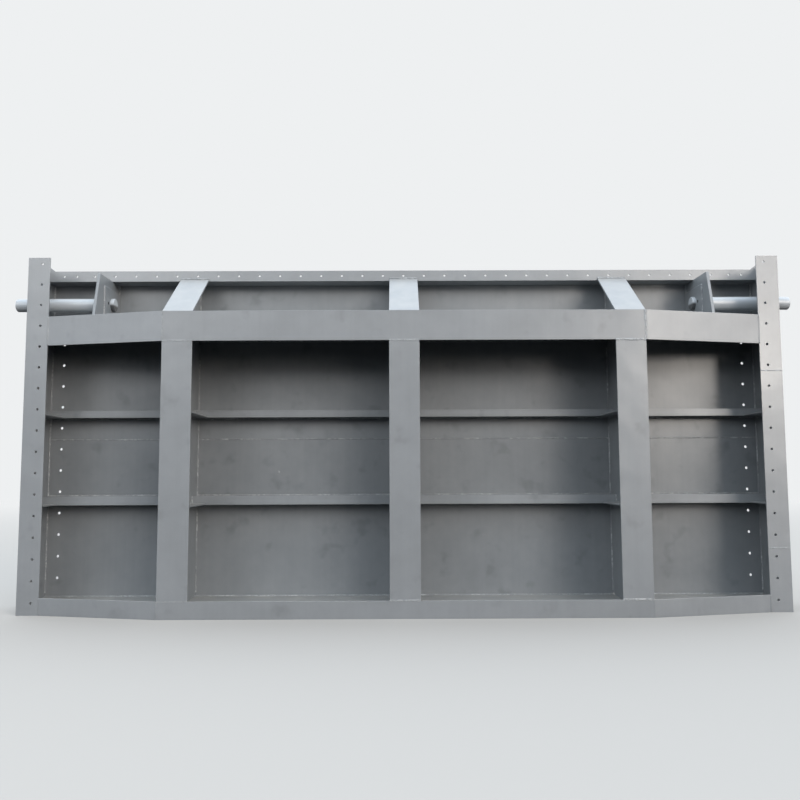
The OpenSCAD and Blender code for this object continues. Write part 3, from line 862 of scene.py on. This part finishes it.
def strip_runs():
    """The places of the welds between the ends of the beams' flanges and the side strips."""
    inner, front = box_of("right_side_strip")[:2]
    for flange in ("lower_flange_right", "upper_flange_right"):
        low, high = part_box(flange)[0].z + END_GAP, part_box(flange)[1].z - END_GAP
        for side in ENDS.values():
            yield from butt("strip", (side * inner, front, low), (side * inner, front, high), (1, 0, 0))


print(len(list(butt_runs())), "flat runs on skin and splices and", len(list(strip_runs())), "on the strips")

# %% [markdown]
# The lugs that carry the lifting shafts stand on the upper beam and are welded to it and to the skin. Each
# has a cheek on its inner face with a run along its front and top edges. The girders' sloping flanges end
# with a run against the top seal plate. A ring of weld goes round each shaft at the outer face of its lug
# and at both faces of the end web: it is a torus, half of it sunk in the corner.

# %% Welds round the lugs and shafts
RING_RADIUS = 5 * MM


def lug_runs():
    """The places of the welds along the feet and backs of the lugs and round the cheeks."""
    for name, side in ENDS.items():
        x0, y0, z0, x1, y1, z1 = box_of(name + "_lug_plate")
        inner, outer = sorted((x0, x1), key=abs)
        for x, way in ((inner, -side), (outer, side)):
            yield (x, y0, z0), (x, y1 - COPE, z0), (way, 0, 0), UP
            yield (x, y1, z0 + COPE), (x, y1, z1), (way, 0, 0), TO_FRONT
        _, front, _, _, _, top = box_of(name + "_lug_cheek")
        yield (inner, front, z0), (inner, front, top), (-side, 0, 0), TO_FRONT
        yield (inner, front, top), (inner, y1, top), (-side, 0, 0), UP


def slope_runs():
    """The places of the welds between the girders' sloping flanges and the top seal plate."""
    for girder in GIRDERS:
        x0, y0, z0, x1, y1, z1 = box_of(girder + "_girder_top_flange")
        yield (x0, y1, z1), (x1, y1, z1), (0, y0 - y1, z0 - z1), (0, z0 - z1, y1 - y0)


def shaft_rings():
    """The rings of weld round the shafts, at the lugs and at both faces of the end webs."""
    for name in ENDS:
        _, y0, z0, _, y1, z1 = box_of(name + "_lifting_shaft")
        lug_outer = max(sides_of(name + "_lug_plate"), key=abs)
        for x in (lug_outer, *sides_of(name + "_end_web")):
            bpy.ops.object.select_all(action="DESELECT")
            bpy.ops.mesh.primitive_torus_add(location=(x, (y0 + y1) / 2, (z0 + z1) / 2),
                rotation=(0, math.pi / 2, 0), major_segments=60, minor_segments=10,
                major_radius=(y1 - y0) / 2, minor_radius=RING_RADIUS)
            bpy.ops.object.transform_apply(location=True, rotation=True, scale=False)
            yield bpy.context.object


print(len(list(lug_runs())), "runs on the lugs and", len(list(slope_runs())), "on the sloping flanges")

# %% [markdown]
# Each group of runs is joined into one piece and roughened as a whole. A displace modifier with a cloud
# texture makes the beads swell and shrink over a few centimetres, because a hand-laid weld is never
# the same width for long. The welds of the strips lie open to the weather and to the eye, so they have the
# paint of the flanges.

# %% Join and roughen the welds
LUMP_LENGTH = 35 * MM
LUMP_HEIGHT = 3.5 * MM


def weld_piece(name, runs, finish="weld_paint"):
    """One piece made of all the runs of a group, roughened, painted and put on the leaf."""
    bpy.ops.object.select_all(action="DESELECT")
    for run in runs:
        run.select_set(True)
    bpy.context.view_layer.objects.active = runs[0]
    bpy.ops.object.join()
    piece = bpy.context.object
    piece.name = piece.data.name = name
    clouds = bpy.data.textures.new(name + " lumps", "CLOUDS")
    clouds.noise_scale = LUMP_LENGTH
    lumps = piece.modifiers.new("lumps", "DISPLACE")
    lumps.texture = clouds
    lumps.texture_coords = "LOCAL"
    lumps.strength = LUMP_HEIGHT
    lumps.mid_level = 0.5
    bpy.ops.object.modifier_apply(modifier=lumps.name)
    bpy.ops.object.shade_smooth()
    piece.data.materials.append(FINISHES[finish])
    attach(piece, "root")
    print(name, len(runs), "runs,", len(piece.data.polygons), "faces")


PLACES = {
    "skin_welds": skin_runs,
    "flange_welds": flange_runs,
    "rib_welds": rib_runs,
    "stiffener_welds": stiffener_runs,
    "butt_welds": butt_runs,
    "lug_welds": lug_runs,
    "slope_welds": slope_runs,
}
for name, places in PLACES.items():
    weld_piece(name, [fillet(*place) for place in places()])
weld_piece("strip_welds", [fillet(*place) for place in strip_runs()], "flange_paint")
weld_piece("shaft_welds", list(shaft_rings()))
bpy.data.objects.remove(ripple)

# %% [markdown]
# The dressed leaf has to keep the size of the imported steelwork. The view layer is updated, because the
# box of a piece that was just joined is out of date until then.

# %% Update the view layer
bpy.context.view_layer.update()
